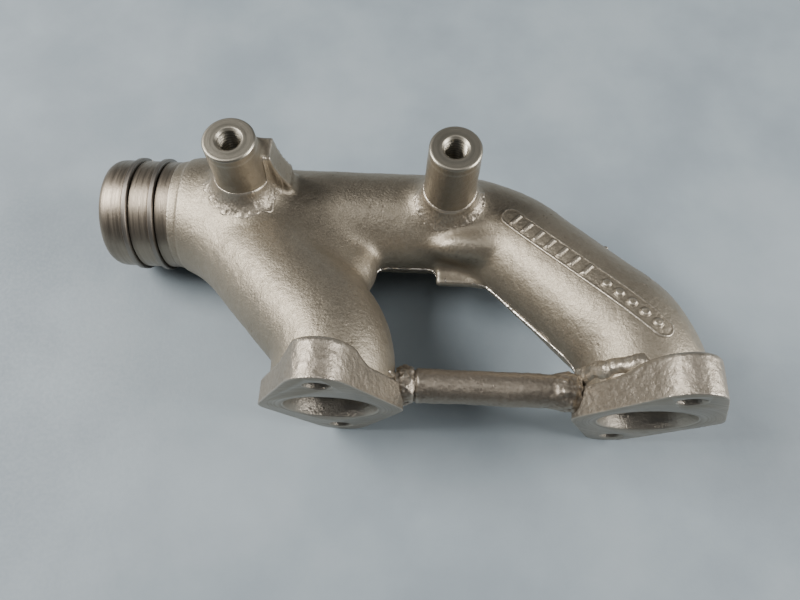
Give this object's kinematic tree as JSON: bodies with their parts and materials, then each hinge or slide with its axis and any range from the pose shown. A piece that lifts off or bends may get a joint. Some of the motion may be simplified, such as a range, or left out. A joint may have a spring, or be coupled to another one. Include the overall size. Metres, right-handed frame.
{
  "type": "exhaust manifold section",
  "caption": "End section of a cast-iron exhaust manifold: two flanged ports sweep into a round log with a turned slip-joint spigot, tapped bosses and a tie bar.",
  "frame": {"origin": "centre of the front port, on the machined face of its flange", "axes": "+X along the collector log from the front port to the rear port, -Y out of the port flanges towards the engine, +Z along the two tapped bosses"},
  "size_m": [0.2978, 0.1368, 0.1063],
  "materials": {
    "cast_iron_rough": "sand cast",
    "flange_iron": "sand cast rim, milled face",
    "turned_iron": "turned",
    "boss_iron": "sand cast side, milled top",
    "ring_iron": "turned"
  },
  "bodies": {
    "casting": {"log_tube": "cast_iron_rough", "log_elbow": "cast_iron_rough", "front_branch": "cast_iron_rough", "front_runner": "cast_iron_rough", "front_bend": "cast_iron_rough", "rear_runner": "cast_iron_rough", "rear_bend": "cast_iron_rough", "spigot": "turned_iron", "front_flange": "flange_iron", "rear_flange": "flange_iron", "front_boss": "boss_iron", "rear_boss": "boss_iron", "front_boss_collar": "cast_iron_rough", "boss_rib": "cast_iron_rough", "tie_bar": "cast_iron_rough", "front_tie_collar": "cast_iron_rough", "rear_tie_collar": "cast_iron_rough", "crotch_web": "cast_iron_rough", "log_fin": "cast_iron_rough", "runner_fin": "cast_iron_rough", "marking_pad": "cast_iron_rough", "vent_pip": "cast_iron_rough"},
    "outer_ring": {"outer_seal_ring": "ring_iron"},
    "inner_ring": {"inner_seal_ring": "ring_iron"}
  },
  "joints": [
    {"name": "outer_ring_turn", "type": "hinge", "parent": "casting", "child": "outer_ring", "pos_m": [-0.1112, 0.107, -0.024], "axis": [1, 0, 0], "continuous": true},
    {"name": "inner_ring_turn", "type": "hinge", "parent": "casting", "child": "inner_ring", "pos_m": [-0.098, 0.107, -0.024], "axis": [1, 0, 0], "continuous": true}
  ]
}
